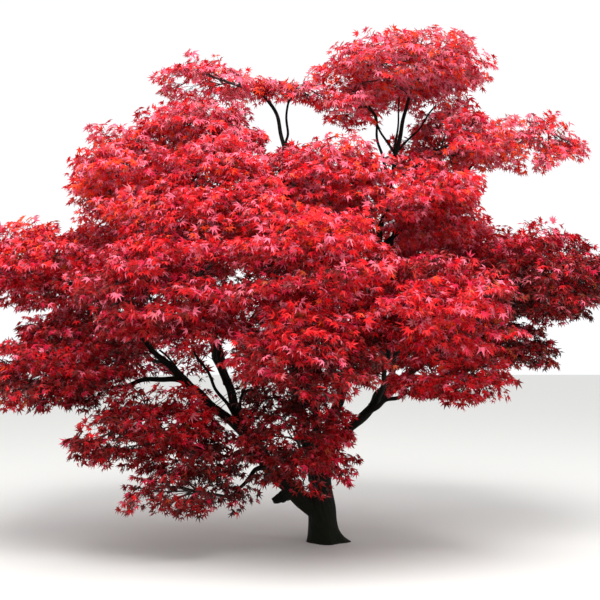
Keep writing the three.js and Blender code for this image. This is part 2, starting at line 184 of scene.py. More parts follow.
# A bough leaves its parent at a share of its length and carries one mass. A mass has a middle, half sizes
# out, across and up, and a droop at its rim.
trunkPlan = {
    "height": 0.74, "lean": -0.024, "bend": 1.5, "lowRadius": 0.122, "highRadius": 0.084,
    "waist": (0.23, 0.5), "topRadius": 0.054, "domeFrom": 0.9,
    "flareReach": 0.062, "flareRight": 0.05, "flareFade": 0.062,
    "roots": 5, "rootDepth": 0.22, "rootTurn": 1.0,
}
stubPlan = {
    "on": "left_stem", "at": 0.3, "heading": 183, "elevation": -26, "length": 0.19, "radii": (0.05, 0.036),
    "rings": 18, "sides": 28,
    "knobs": ((0.14, 2, 9), (0.1, 5, -14)),  # share of the radius, turns, radians from root to tip
    "ragged": 0.3, "point": 0.5,
    "collar": 0.28,  # share of its length
}
boughPlan = {
    "handles": (0.4, 0.18), "enter": (-0.5, 0, -0.4), "taper": 0.85, "heart": (0.15, 0, 0),
    "curveSteps": 200,  # that measure a bough's length
    "placeGap": 0.03,  # metres between the places that sprays are kept clear of
}
shootPlan = {
    "nearest": 0.15, "end": 0.44, "lift": (-0.7, 0.7),
    "turnStep": 0.7549, "liftStep": 0.5698, "mix": 7, "seed": 0.137,
    "first": ((1, 0.2, 0.1), (0.1, 1, -0.2), (0.1, -1, -0.1), (0.35, 0.3, 0.9), (0.3, -0.4, -0.8)),
}
# Name, parent, share of the parent, heading and elevation of leaving, radii, and for limbs that carry no mass
# also where they end: heading, reach, height and the elevation they arrive with
stemRow = ("left_stem", "trunk", 0.33, (183, 28), (0.082, 0.05), (180, 0.67, 0.95, 66))
boughRows = [
    ("left_arm", "left_stem", 0.95, (186, 36), (0.042, 0.014)),
    ("left_skirt", "left_arm", 0.36, (194, 20), (0.026, 0.012)),
    ("low_left", "left_arm", 0.16, (218, 14), (0.024, 0.011)),
    ("back_low_left", "left_arm", 0.26, (148, 34), (0.028, 0.012)),
    ("bottom_left", "left_stem", 0.6, (228, 8), (0.026, 0.01)),
    ("shoulder_outer", "left_stem", 0.93, (172, 64), (0.042, 0.013)),
    ("left_front", "shoulder_outer", 0.22, (232, 46), (0.028, 0.012)),
    ("back_left", "shoulder_outer", 0.3, (138, 48), (0.03, 0.013)),
    ("top_left", "trunk", 0.66, (170, 66), (0.058, 0.012)),
    ("shoulder_inner", "top_left", 0.42, (232, 56), (0.024, 0.011)),
    ("top_left_low", "top_left", 0.7, (196, 44), (0.018, 0.01)),
    ("spray_middle", "top_left", 0.82, (50, 55), (0.013, 0.009)),
    ("centre_top", "top_left", 0.36, (10, 62), (0.028, 0.012)),
    ("centre_front", "top_left", 0.26, (268, 42), (0.03, 0.012)),
    ("back_centre", "trunk", 0.93, (100, 58), (0.044, 0.013)),
    ("back_low_centre", "back_centre", 0.2, (98, 30), (0.028, 0.012)),
    ("centre_low", "trunk", 0.84, (266, 40), (0.03, 0.012)),
    ("trunk_front", "trunk", 0.6, (240, 12), (0.022, 0.01)),
    ("right_outer", "trunk", 0.94, (356, 44), (0.048, 0.014)),
    ("right_front", "right_outer", 0.3, (300, 44), (0.03, 0.012)),
    ("right_front_low", "right_outer", 0.24, (318, 34), (0.024, 0.01)),
    ("right_under", "right_outer", 0.55, (30, 16), (0.022, 0.01)),
    ("back_low_right", "right_outer", 0.24, (62, 30), (0.028, 0.012)),
    ("back_right", "right_outer", 0.38, (60, 56), (0.03, 0.012)),
    ("crown_top", "trunk", 0.95, (18, 68), (0.05, 0.014)),
    ("crown_left", "crown_top", 0.78, (178, 48), (0.014, 0.009)),
    ("crown_right", "crown_top", 0.76, (16, 38), (0.018, 0.01)),
    ("arm_right", "crown_top", 0.58, (12, 34), (0.024, 0.011)),
    ("right_upper", "crown_top", 0.4, (350, 34), (0.024, 0.011)),
]
# Thin limbs at the lower left and under the crown that end among the leaves and carry no mass of their own
fanRows = [
    ("fan_middle", "left_stem", 0.97, (184, 54), (0.018, 0.008), (194, 1.2, 1.78, 60)),
    ("fan_front", "left_stem", 0.92, (204, 34), (0.017, 0.008), (203, 1.42, 1.6, 38)),
    ("fan_right", "left_stem", 0.95, (215, 66), (0.016, 0.007), (210, 0.66, 1.72, 74)),
    ("crown_fork_left", "crown_top", 0.84, (190, 50), (0.013, 0.006), (355, 0.36, 3.74, 125)),
    ("crown_fork_middle", "crown_top", 0.83, (260, 72), (0.011, 0.006), (350, 0.66, 3.74, 95)),
    ("crown_fork_right", "crown_top", 0.85, (350, 40), (0.012, 0.006), (356, 0.97, 3.68, 55)),
]
limbRows = [stemRow, *boughRows, *fanRows]
limbNames = [row[0] for row in limbRows]
# The mass at each bough's end: heading, reach, height, half sizes, droop, shoots, and the place in the mass
# where the bough enters it, if that isn't the usual one
massRows = [
    ("left_arm", 185, 2.34, 2.31, (0.64, 0.86, 0.44), 0.08, 6),
    ("left_skirt", 191, 2.2, 1.5, (0.7, 0.76, 0.45), 0.08, 5),
    ("low_left", 209, 1.5, 1.01, (0.76, 0.56, 0.4), 0.13, 5),
    ("back_low_left", 153, 2.34, 1.82, (0.7, 0.86, 0.42), 0.1, 5),
    ("bottom_left", 214, 1.27, 0.545, (0.7, 0.5, 0.25), 0.04, 6),
    ("shoulder_outer", 183, 1.62, 3.09, (0.58, 1.05, 0.43), 0.09, 6),
    ("left_front", 226, 1.69, 2.07, (0.76, 0.8, 0.55), 0.1, 6),
    ("back_left", 144, 1.98, 2.6, (0.96, 1.05, 0.56), 0.12, 6),
    ("top_left", 163, 0.98, 4.04, (0.53, 0.8, 0.15), 0.19, 6, (-0.7, 0, -0.6)),
    ("shoulder_inner", 208, 1.01, 2.97, (0.62, 0.82, 0.45), 0.07, 5),
    ("top_left_low", 174, 1.05, 3.48, (0.65, 0.95, 0.25), 0.07, 5),
    ("spray_middle", 180, 0.1, 3.83, (0.3, 0.34, 0.15), 0.06, 4, (0.55, 0, -0.4)),
    ("centre_top", 110, 0.16, 3.05, (1.06, 0.9, 0.41), 0.06, 6, (-0.2, 0, -0.75)),
    ("centre_front", 266, 1.36, 2.25, (0.78, 0.76, 0.46), 0.1, 6),
    ("back_centre", 99, 1.66, 2.82, (0.93, 1.05, 0.56), 0.12, 5),
    ("back_low_centre", 98, 1.7, 1.8, (0.74, 0.86, 0.42), 0.1, 5),
    ("centre_low", 265, 1.54, 1.59, (0.6, 0.64, 0.37), 0.08, 5),
    ("trunk_front", 254, 0.79, 0.97, (0.48, 0.6, 0.54), 0.05, 5),
    ("right_outer", 4, 1.92, 2.26, (0.72, 0.94, 0.49), 0.15, 6),
    ("right_front", 302, 1.4, 1.95, (0.76, 0.82, 0.46), 0.1, 6),
    ("right_front_low", 314, 1.34, 1.42, (0.5, 0.6, 0.26), 0.07, 5),
    ("right_under", 18, 1.74, 1.67, (0.46, 0.76, 0.27), 0.09, 5),
    ("back_low_right", 55, 1.92, 1.78, (0.74, 0.88, 0.42), 0.1, 5),
    ("back_right", 49, 1.84, 2.5, (0.96, 1.05, 0.56), 0.14, 6),
    ("crown_top", 8, 0.72, 4.06, (0.8, 0.95, 0.35), 0.1, 6, (0.05, 0, -0.8)),
    ("crown_left", 0, 0.24, 3.74, (0.3, 0.46, 0.24), 0.06, 5, (0.6, 0, -0.3)),
    ("crown_right", 16, 1.15, 3.44, (0.43, 1, 0.43), 0.06, 5),
    ("arm_right", 8, 1.84, 3.56, (0.65, 0.46, 0.21), 0.5, 6),
    ("right_upper", 4, 0.92, 2.88, (0.49, 1.1, 0.43), 0.08, 7),
]


def trunkAxis(share):
    # (lean share^bend, 0, height share)
    share = np.asarray(share, float)
    lean = trunkPlan["lean"] * share ** trunkPlan["bend"]
    return np.stack([lean, np.zeros_like(share), trunkPlan["height"] * share], axis=-1)


def trunkRadius(share, angle):
    # a waist between two heights, a rounded top, and a root flare in lobes that fades upwards
    height = trunkPlan["height"] * share
    plain = blendOf(trunkPlan["lowRadius"], trunkPlan["highRadius"], smoothStep(*trunkPlan["waist"], height))
    dome = smoothStep(trunkPlan["domeFrom"], 1, share)
    lobed = 1 + trunkPlan["rootDepth"] * np.cos(trunkPlan["roots"] * angle + trunkPlan["rootTurn"])
    flare = trunkPlan["flareReach"] + trunkPlan["flareRight"] * np.cos(angle)
    fade = np.exp(-height / trunkPlan["flareFade"])
    return blendOf(plain, trunkPlan["topRadius"], dome) + flare * lobed * fade


def cubicAt(controls, share):
    # the cubic curve at t, with t found so that share is a share of the length; also the length
    steps = np.linspace(0, 1, boughPlan["curveSteps"] + 1)
    lengths = lengthsAlong(cubicCurve(*controls, steps[:, None]))
    t = np.interp(np.asarray(share, float) * lengths[-1], lengths, steps)
    return cubicCurve(*controls, t[..., None]), lengths[-1]


# Masses: where each one lies, and how deep a place is in it (0 at its middle, 1 at its rim)

massNames = [row[0] for row in massRows]
massOut = towards(np.array([row[1] for row in massRows], float))
massSide = np.cross(up, massOut)
reaches, heights = (np.array([[row[i]] for row in massRows]) for i in (2, 3))
massMiddle = massOut * reaches + up * heights
massSize = np.array([row[4] for row in massRows])
massDroop = np.array([row[5] for row in massRows])
massShoots = [row[6] for row in massRows]
massEnter = [row[7] if len(row) > 7 else boughPlan["enter"] for row in massRows]


def placeIn(m, ball):
    # middle + out length x + side width y + up (rise z - droop (x^2 + y^2))
    x, y, z = np.moveaxis(np.asarray(ball, float), -1, 0)
    length, width, rise = massSize[m]
    lift = rise * z - massDroop[m] * (x * x + y * y)
    level = massOut[m] * (length * x)[..., None] + massSide[m] * (width * y)[..., None]
    return massMiddle[m] + level + up * lift[..., None]


def depthsOf(places):
    # sqrt(x^2 + y^2 + z^2) in each mass's own half sizes: one row a mass, one column a place
    offset = places[None] - massMiddle[:, None]
    x = (offset * massOut[:, None]).sum(-1) / massSize[:, :1]
    y = (offset * massSide[:, None]).sum(-1) / massSize[:, 1:2]
    z = (offset[..., 2] + massDroop[:, None] * (x * x + y * y)) / massSize[:, 2:]
    return np.sqrt(x * x + y * y + z * z)


def keepsTo(m, places, gap):
    # inside its own mass, and nearer to its middle than to any other's by the gap
    depths = depthsOf(places)
    others = np.delete(depths, m, axis=0).min(axis=0)
    return (depths[m] < 1) & (others > depths[m] + gap)


# Boughs: one cubic curve each, from the parent's middle line to where the bough enters its mass

controlsOf, lengthOf = {}, {}


def pointOn(name, share):
    # the place on a limb's middle line at a share of its length
    return trunkAxis(share) if name == "trunk" else cubicAt(controlsOf[name], share)[0]


for name, parent, at, leaves, radii, *end in limbRows:
    root = pointOn(parent, at)
    if name in massNames:
        m = massNames.index(name)
        tip = placeIn(m, massEnter[m])
        arriving = unit(placeIn(m, boughPlan["heart"]) - tip)
    else:
        heading, reach, height, elevation = end[0]
        tip = towards(heading) * reach + up * height
        arriving = towards(heading, elevation)
    first, last = np.array(boughPlan["handles"]) * np.linalg.norm(tip - root)
    controlsOf[name] = (root, root + towards(*leaves) * first, tip - arriving * last, tip)
    lengthOf[name] = cubicAt(controlsOf[name], 0.0)[1]


def evenShares(name):
    # shares of a limb from its root to its tip, about placeGap apart
    return np.linspace(0, 1, int(lengthOf[name] / boughPlan["placeGap"]) + 2)


limbPlaces = np.concatenate([pointOn(name, evenShares(name)) for name in limbNames])
limbRadii = np.concatenate([blendOf(*row[4], evenShares(row[0]) ** boughPlan["taper"]) for row in limbRows])


# Bark: old maple bark, nearly black when damp, with shallow fissures that run along the limb

barkSet = {
    "ridges": 26,  # fissures round the trunk, 25 to 30 mm apart
    "ridgesAt": 0.12,  # metres of radius that has that many
    "fissureDepth": 0.0055,
    "fissureShare": 0.045,  # of the radius, for thin limbs
    "leastFissure": 0.0003,
    "fissureShape": 0.45,  # below 1, grooves are narrow and ridges broad
    # waves in a limb: size, turns round it, metres of it to a radian, and shift by its seed
    "wanders": ((1.5, 2, 0.11, 1), (0.9, 3, 0.043, 2)),  # of its fissures, radians
    "lumps": ((0.05, 2, 0.19, 1), (0.035, 3, -0.13, 0)),  # shares of its radius
    "strays": ((0.0112, 0, 0.07, 1), (0.0084, 0, 0.052, 2.3)),  # metres, a bough's path sideways and over
    "ringGap": 0.0085,
    "ringGather": 1.15,  # above 1, the trunk's rings stand closer together in its flare
    "trunkSides": 150,
    "trunkSeed": 0.4,
    "boughRingGap": 0.016, "boughLeastRings": 3,
    "boughSides": ((0.07, 48), (0.035, 26), (0, 14)),  # for limbs whose root is thicker than this
    "boughSeeds": (0.5, 1.3),  # the first bough's and the step to the next one's
    "stubSeed": 7.7,
    "patternStep": 3,  # metres between the bark patterns of two limbs whose seeds differ by 1
    "collarSwell": 0.5,  # share of its radius at its root
    "collarFade": 1.2,  # of its radius
}


def wavesOf(rows, angle, along, seed):
    # the sum of size sin(turns a + along / metres + shift seed)
    return sum(size * np.sin(turns * angle + along / gap + shift * seed) for size, turns, gap, shift in rows)


def fissures(angle, along, ridges, seed):
    # |sin(ridges a / 2 + wander)|^shape: grooves where it is 0; the wander keeps whole turns round the limb
    wander = wavesOf(barkSet["wanders"], angle, along, seed)
    return np.abs(np.sin(ridges * angle / 2 + wander)) ** barkSet["fissureShape"]


def barkTube(path, radii, around, seed):
    # radii (rings, around) times slow lumps, less the fissures; also gives the place on the unrolled bark
    angle = np.arange(around)[None] * 2 * np.pi / around
    along = lengthsAlong(path)[:, None]
    lumps = 1 + wavesOf(barkSet["lumps"], angle, along, seed)
    mean = radii.mean(axis=1, keepdims=True)
    ridges = 2 * max(3, round(barkSet["ridges"] * float(mean.mean()) / barkSet["ridgesAt"] / 2))
    depth = np.minimum(barkSet["fissureDepth"], barkSet["fissureShare"] * mean + barkSet["leastFissure"])
    shaped = radii * lumps - depth * (1 - fissures(angle, along, ridges, seed))
    corners, faces = sweptTubes(path[None], shaped[None], around)
    flat = np.broadcast_to(mean, (len(path), around))
    height = np.broadcast_to(along, flat.shape) + barkSet["patternStep"] * seed
    unrolled = np.stack([flat * np.cos(angle), flat * np.sin(angle), height], axis=-1)
    poles = np.array([[0, 0, height[0, 0]], [0, 0, height[-1, 0]]])
    return corners, faces, np.concatenate([unrolled.reshape(-1, 3), poles])


def addBark(name, tubes, material):
    # the tubes as one mesh that keeps each corner's place on the unrolled bark
    corners, faces = joinedMesh(tubes)
    piece = addMesh(name, corners, faces, material)
    place = piece.data.attributes.new("barkPlace", "FLOAT_VECTOR", "POINT")
    place.data.foreach_set("vector", np.concatenate([tube[2] for tube in tubes]).astype(np.float32).ravel())
    return piece


# Damp maple bark: dark grey brown ridges, black grooves, a green bloom of algae low on the trunk. It gives
# the eye long streaks with the limb and only a faint shine.
barkTones = {
    "streaks": ((0.38, "#030302"), (0.52, "#0E0C09"), (0.7, "#241D16")),  # groove, ridge and worn ridge
    "streakGap": 0.011,  # metres between streaks round the limb
    "streakDetail": 6.0, "streakRoughness": 0.62,
    "stretch": 0.16,  # a streak is this much coarser along the limb
    "algae": "#111808",
    "algaeHeights": (0.05, 0.6),
    "algaeShares": (1.1, 0.15),  # at those heights
    "blotch": 0.11,  # metres across a blotch
    "blotchDetail": 3.0,
    "roughness": (0.7, 0.95),
    "specular": 0.15,
    "grain": 0.7, "grainHeight": 0.003,
}
firstColour, secondColour, mixedColour = 6, 7, 2  # where a Mix node has its colour sockets
barkMaterial = newMaterial("dampMapleBark", {"Specular IOR Level": barkTones["specular"]})
barkTree = barkMaterial.node_tree


def barkNode(kind, values=None, links=None, **settings):
    # a node of the bark with its settings, its sockets' values and the links into it
    node = barkTree.nodes.new("ShaderNode" + kind)
    for name, value in settings.items():
        setattr(node, name, value)
    setSockets(node, values or {})
    for name, socket in (links or {}).items():
        barkTree.links.new(socket, node.inputs[name])
    return node


place = barkNode("Attribute", attribute_name="barkPlace").outputs["Vector"]
drawn = barkNode("Mapping", {"Scale": (1, 1, barkTones["stretch"])}, {"Vector": place})
streaks = barkNode("TexNoise", {
    "Scale": 1 / barkTones["streakGap"], "Detail": barkTones["streakDetail"],
    "Roughness": barkTones["streakRoughness"],
}, {"Vector": drawn.outputs["Vector"]}).outputs["Fac"]
blotches = barkNode("TexNoise", {
    "Scale": 1 / barkTones["blotch"], "Detail": barkTones["blotchDetail"],
}, {"Vector": place}).outputs["Fac"]
tone = barkNode("ValToRGB", links={"Fac": streaks})
tone.color_ramp.elements.new(barkTones["streaks"][1][0])
for stop, (share, colour) in zip(tone.color_ramp.elements, barkTones["streaks"]):
    stop.position, stop.color = share, linearColour(colour)
height = barkNode("SeparateXYZ", links={"Vector": barkNode("TexCoord").outputs["Object"]})
(lowest, highest), (most, least) = barkTones["algaeHeights"], barkTones["algaeShares"]
low = barkNode("MapRange", {
    "From Min": lowest, "From Max": highest, "To Min": most, "To Max": least,
}, {"Value": height.outputs["Z"]})
patchy = barkNode("Math", links={0: low.outputs["Result"], 1: blotches}, operation="MULTIPLY")
bloom = barkNode("Mix", {secondColour: linearColour(barkTones["algae"])},
                 {"Factor": patchy.outputs["Value"], firstColour: tone.outputs["Color"]}, data_type="RGBA")
smooth, rough = barkTones["roughness"]
shine = barkNode("MapRange", {"To Min": smooth, "To Max": rough}, {"Value": blotches})
grain = barkNode("Bump", {"Strength": barkTones["grain"], "Distance": barkTones["grainHeight"]},
                 {"Height": streaks})
shader = barkTree.nodes["Principled BSDF"]
barkTree.links.new(bloom.outputs[mixedColour], shader.inputs["Base Color"])
barkTree.links.new(shine.outputs["Result"], shader.inputs["Roughness"])
barkTree.links.new(grain.outputs["Normal"], shader.inputs["Normal"])


def trunkTube():
    # the plan's trunk with the bark's relief, its foot cut level whatever its lean
    rings = int(trunkPlan["height"] / barkSet["ringGap"])
    share = np.linspace(0, 1, rings) ** barkSet["ringGather"]
    angle = np.arange(barkSet["trunkSides"])[None] * 2 * np.pi / barkSet["trunkSides"]
    radii = trunkRadius(share[:, None], np.pi / 2 - angle)  # the tube's own angles start at +Y
    corners, faces, unrolled = barkTube(trunkAxis(share), radii, barkSet["trunkSides"], barkSet["trunkSeed"])
    corners[: barkSet["trunkSides"], 2] = 0
    return corners, faces, unrolled


def wandered(path, seed):
    # a bough's smooth curve moved sideways by slow sines times sin(pi share)^0.5, which is 0 at both ends
    share = np.linspace(0, 1, len(path))
    along = unit(np.gradient(path, axis=0))
    side = unit(np.cross(along, up))
    over = np.cross(side, along)
    steps = lengthsAlong(path)
    window = np.sqrt(np.sin(np.pi * share))
    aside, above = (window * wavesOf([row], 0, steps, seed) for row in barkSet["strays"])
    return path + side * aside[:, None] + over * above[:, None]


def boughTube(row, seed):
    # tapering radii, swollen where the bough leaves its parent, on its wandering curve
    name, radii = row[0], row[4]
    rings = int(lengthOf[name] / barkSet["boughRingGap"]) + barkSet["boughLeastRings"]
    share = np.linspace(0, 1, rings)
    collar = np.exp(-share * lengthOf[name] / (barkSet["collarFade"] * radii[0]))
    radius = blendOf(*radii, share ** boughPlan["taper"]) * (1 + barkSet["collarSwell"] * collar)
    around = next(sides for least, sides in barkSet["boughSides"] if radii[0] > least)
    path = wandered(cubicAt(controlsOf[name], share)[0], seed)
    return barkTube(path, np.repeat(radius[:, None], around, axis=1), around, seed)


def stubTube():
    # a short broken limb: radius times 1 + knobs + a collar at its root, narrowing to a ragged point
    root = pointOn(stubPlan["on"], stubPlan["at"])
    share = np.linspace(0, 1, stubPlan["rings"])
    way = towards(stubPlan["heading"], stubPlan["elevation"])
    path = root + way * (share * stubPlan["length"])[:, None]
    share = share[:, None]
    angle = np.arange(stubPlan["sides"])[None] * 2 * np.pi / stubPlan["sides"]
    knobs = sum(part * np.sin(turns * angle + run * share) for part, turns, run in stubPlan["knobs"])
    broken = stubPlan["ragged"] * share**2 * np.sin(3 * angle + 2.6) - stubPlan["point"] * share**6
    collar = barkSet["collarSwell"] * np.exp(-share / stubPlan["collar"])
    radii = blendOf(*stubPlan["radii"], share) * (1 + knobs + broken + collar)
    return barkTube(path, radii, stubPlan["sides"], barkSet["stubSeed"])


trunkPiece = addBark("trunkBark", [trunkTube()], barkMaterial)
firstSeed, seedStep = barkSet["boughSeeds"]
boughTubes = [boughTube(row, seedStep * i + firstSeed) for i, row in enumerate(limbRows)]
boughPiece = addBark("boughBark", [*boughTubes, stubTube()], barkMaterial)
print("bark:", len(trunkPiece.data.polygons) + len(boughPiece.data.polygons), "triangles")


# Growth inside each mass: the plan's stem and shoots, then branches, then a twig for each spray of leaves

# Every later limb leaves the nearest earlier one, a little behind its own target
growthSet = {
    "points": 7,  # of each limb's curve
    "handle": 0.35,  # share of its reach
    "rise": 0.3,  # added to its way where it leaves
    "behind": 0.5,  # share of its distance that it leaves its parent behind the nearest place
    "branches": 19,  # in a mass of branchVolume
    "branchVolume": 0.5,  # cubic metres
    "branchPower": 0.8,  # of the volume
    "branchDepths": (0.45, 0.72),
    "branchOut": 0.6,
    "sprays": 204,  # in a cubic metre of mass
    "core": 0.3,  # no spray ends nearer to the middle of its mass than this
    "rim": 0.96,  # the outermost sprays end here
    "rimWaves": 0.1,  # and between its waves they end this much nearer to the middle
    "waves": ((3, 5, 9), (5, -7, 17)),  # of the rim: turns, radians a half height, and shift by the seed
    "layerGap": 0.17,  # metres between the layers that sprays gather in
    "layerPull": 0.55,  # how far a spray moves to its nearest layer
    "scatter": (0.06, 0.06, 0.022),  # shares of the mass that a spray strays, out, across and up
    "overlap": -0.05,  # masses may grow this far into each other
    "clearance": 0.05,  # metres from a spray's tip to a bough
    "insideShare": 0.5,  # of the sprays that grow in the middle of the crown
    "insideTo": (0.25, 0.6),  # all of them grow beyond this outwardness
    "lowShare": 0.5,  # of the sprays that grow near the ground
    "lowTo": (0.35, 1.2),  # all of them grow above this height
    "lowRight": (-0.7, -0.3),  # or to the right of this
    "gapShare": 0.1,  # of the sprays that grow in a gap
    "pitch": (2, 20),  # degrees a spray hangs, on top of its mass and on its flank
    "flank": (0.9, -0.1),  # where the flank starts and is full, in half heights of the mass
    "pitchSpread": 12,
    "turnSpread": 0.5,
    "outShare": 0.7, "reachShare": 0.6,  # of its way that is outwards and on from its root
}
# Where the crown is open and boughs show between the leaves: middle, half sizes
gapPlan = (
    ((-1.62, -0.8, 1.85), (0.27, 0.9, 0.14)), ((-1.22, -0.8, 1.57), (0.22, 0.9, 0.17)),
    ((-0.82, -1.0, 2.19), (0.18, 0.7, 0.15)), ((-0.42, -1.5, 2.13), (0.58, 0.7, 0.09)),
    ((-0.37, -0.7, 0.44), (0.14, 0.6, 0.12)), ((0.8, 0.1, 3.48), (0.2, 0.8, 0.15)),
    ((-1.0, 0.3, 3.84), (0.16, 0.8, 0.07)),
)
crownPlan = {"middle": np.array([-0.17, 0.1, 2.3]), "half": np.array([2.75, 2.3, 2.05])}
dice = np.random.default_rng(29)


def onBall(turns, z):
    # (sqrt(1 - z^2) cos a, sqrt(1 - z^2) sin a, z), a from its number of turns
    angle = 2 * np.pi * np.mod(turns, 1)
    flat = np.sqrt(1 - z * z)
    return np.stack([flat * np.cos(angle), flat * np.sin(angle), z], axis=-1)


def shootTargets(seed, count):
    # the plan's fixed ones, then points of the ball that never fall into a pattern
    k = np.arange(len(shootPlan["first"]), max(count, len(shootPlan["first"])))
    z = blendOf(*shootPlan["lift"], np.mod(shootPlan["mix"] * seed + shootPlan["liftStep"] * k, 1))
    spread = onBall(seed + shootPlan["turnStep"] * k, z)
    return np.concatenate([unit(np.array(shootPlan["first"], float)), spread])[:count]


def ballTargets(count, seed, inner, outer):
    # evenly over all directions (z in equal steps, turns by the golden share) and over the volume between
    # two depths
    k = np.arange(count)
    depth = np.cbrt(blendOf(inner**3, outer**3, np.mod(seed + shootPlan["turnStep"] * k, 1)))
    return onBall(seed + golden * k, 1 - 2 * (k + 0.5) / count) * depth[:, None]


def arched(roots, leaving, ends, arriving):
    # cubic curves from roots to ends, whose two inner controls b and c are one handle from them
    handle = growthSet["handle"] * np.linalg.norm(ends - roots, axis=-1, keepdims=True)
    b = (roots + unit(unit(leaving) + unit(ends - roots) + up * growthSet["rise"]) * handle)[:, None]
    c = (ends - unit(arriving) * handle)[:, None]
    return cubicCurve(roots[:, None], b, c, ends[:, None], np.linspace(0, 1, growthSet["points"])[:, None])


def grownTo(targets, paths):
    # each target's nearest place on the paths, moved back towards its root by a share of their distance
    spacing = np.linalg.norm(np.diff(paths, axis=1), axis=-1).mean(axis=1)
    flat = paths.reshape(-1, 3)
    apart = np.linalg.norm(targets[:, None] - flat[None], axis=-1)
    path, step = np.divmod(apart.argmin(axis=1), paths.shape[1])
    back = np.round(growthSet["behind"] * apart.min(axis=1) / spacing[path]).astype(int)
    step = np.maximum(step - back, 0)
    return paths[path, step], np.gradient(paths, axis=1)[path, step]


def outOfCrown(places):
    # from the middle of the crown, in its half sizes
    return (places - crownPlan["middle"]) / crownPlan["half"]


def outwardness(places):
    # 0 in the middle of the crown, 1 on its rim
    return np.linalg.norm(outOfCrown(places), axis=-1)


def awayFrom(m, places):
    # level direction away from the middle of the mass and from the middle of the crown
    away = unit((places - massMiddle[m]) / massSize[m]) + unit(outOfCrown(places))
    return unit(away * np.array([1, 1, 0]))


def clearOfLimbs(places):
    # farther than the clearance from every limb's surface
    apart = np.linalg.norm(places[:, None] - limbPlaces[None], axis=-1) - limbRadii[None]
    return apart.min(axis=1) > growthSet["clearance"]


def hanging(way, pitch):
    # way, made level, cos(pitch) - up sin(pitch), with both strayed by chance
    pitch = np.radians(pitch + dice.normal(0, growthSet["pitchSpread"], len(way)))[:, None]
    level = unit((way + dice.normal(0, growthSet["turnSpread"], way.shape)) * flatten)
    return level * np.cos(pitch) - up * np.sin(pitch)


def sprayEnds(m, count, seed):
    # even places in the mass, pulled to its layers, with waves round its rim, scattered, then thinned out
    ball = ballTargets(count, 0.5 * seed, growthSet["core"], growthSet["rim"])
    layer = growthSet["layerGap"] / massSize[m][2]
    ball[:, 2] += growthSet["layerPull"] * (layer * np.round(ball[:, 2] / layer) - ball[:, 2])
    around = np.arctan2(ball[:, 1], ball[:, 0])
    waves = sum(np.sin(a * around + b * ball[:, 2] + c * seed) for a, b, c in growthSet["waves"])
    ball *= 1 - growthSet["rimWaves"] * (0.5 - 0.25 * waves)[:, None]
    ball += dice.normal(0, 1, ball.shape) * growthSet["scatter"]
    ends = placeIn(m, ball)
    inside = smoothStep(*growthSet["insideTo"], outwardness(ends))
    high, right = smoothStep(*growthSet["lowTo"], ends[:, 2]), smoothStep(*growthSet["lowRight"], ends[:, 0])
    chance = blendOf(growthSet["insideShare"], 1, inside)
    chance *= blendOf(growthSet["lowShare"], 1, np.maximum(high, right))
    for middle, half in gapPlan:
        chance = np.where(np.linalg.norm((ends - middle) / half, axis=-1) < 1, growthSet["gapShare"], chance)
    kept = keepsTo(m, ends, growthSet["overlap"]) & (dice.random(len(ends)) < chance) & clearOfLimbs(ends)
    return ends[kept], ball[kept]


def massGrowth(m):
    # the mass's stem, shoots and branches, then a twig for each spray and its way at the tip
    name, shoots = massNames[m], massShoots[m]
    seed = np.mod(shootPlan["seed"] + golden * limbNames.index(name), 1)
    tip, heart = controlsOf[name][3], placeIn(m, boughPlan["heart"])
    stem = np.linspace(tip, heart, growthSet["points"])
    roots = tip + (heart - tip) * blendOf(1, shootPlan["nearest"], np.arange(shoots) / shoots)[:, None]
    ends = placeIn(m, shootTargets(seed, shoots) * shootPlan["end"])
    first = arched(roots, np.repeat((heart - tip)[None], shoots, axis=0), ends, ends - roots)
    skeleton = np.concatenate([stem[None], first])

    volume = 4 / 3 * np.pi * massSize[m].prod()
    count = round(growthSet["branches"] * (volume / growthSet["branchVolume"]) ** growthSet["branchPower"])
    ends = placeIn(m, ballTargets(count, seed, *growthSet["branchDepths"]))
    ends = ends[keepsTo(m, ends, growthSet["overlap"])]
    roots, leaving = grownTo(ends, skeleton)
    branches = arched(roots, leaving, ends, unit(ends - roots) + awayFrom(m, ends) * growthSet["branchOut"])

    ends, ball = sprayEnds(m, round(growthSet["sprays"] * volume), seed)
    roots, leaving = grownTo(ends, np.concatenate([skeleton, branches]))
    way = awayFrom(m, ends) * growthSet["outShare"] + unit((ends - roots) * flatten) * growthSet["reachShare"]
    hang = hanging(way, blendOf(*growthSet["pitch"], smoothStep(*growthSet["flank"], ball[:, 2])))
    return stem, first, branches, arched(roots, leaving, ends, hang), hang


# A few leafy twigs on the barer boughs inside the crown, each between two shares of its bough
strayPlan = {
    "spans": {
        "left_arm": (0.12, 0.75), "left_skirt": (0.12, 0.75), "low_left": (0.12, 0.75),
        "back_low_left": (0.12, 0.75), "shoulder_outer": (0.12, 0.75), "left_front": (0.12, 0.75),
        "right_outer": (0.5, 0.9), "right_front": (0.4, 0.85), "back_centre": (0.3, 0.8),
        "back_right": (0.3, 0.8), "crown_top": (0.2, 0.45), "centre_front": (0.4, 0.85),
    },
    "each": 9,
    "reach": (0.18, 0.42),
    "rise": 24,  # degrees
    "hang": 0.3,
}


def strayGrowth(name):
    # each twig leaves its bough at a drawn share, turn and reach, rising, and hangs at its tip
    roots = pointOn(name, dice.uniform(*strayPlan["spans"][name], strayPlan["each"]))
    leaving = towards(dice.uniform(0, 360, strayPlan["each"]), strayPlan["rise"])
    ends = roots + leaving * dice.uniform(*strayPlan["reach"], (strayPlan["each"], 1))
    clear = clearOfLimbs(ends)
    roots, leaving, ends = roots[clear], leaving[clear], ends[clear]
    hang = unit(leaving * np.array([1, 1, 0]) - up * strayPlan["hang"])
    return arched(roots, leaving, ends, hang), hang


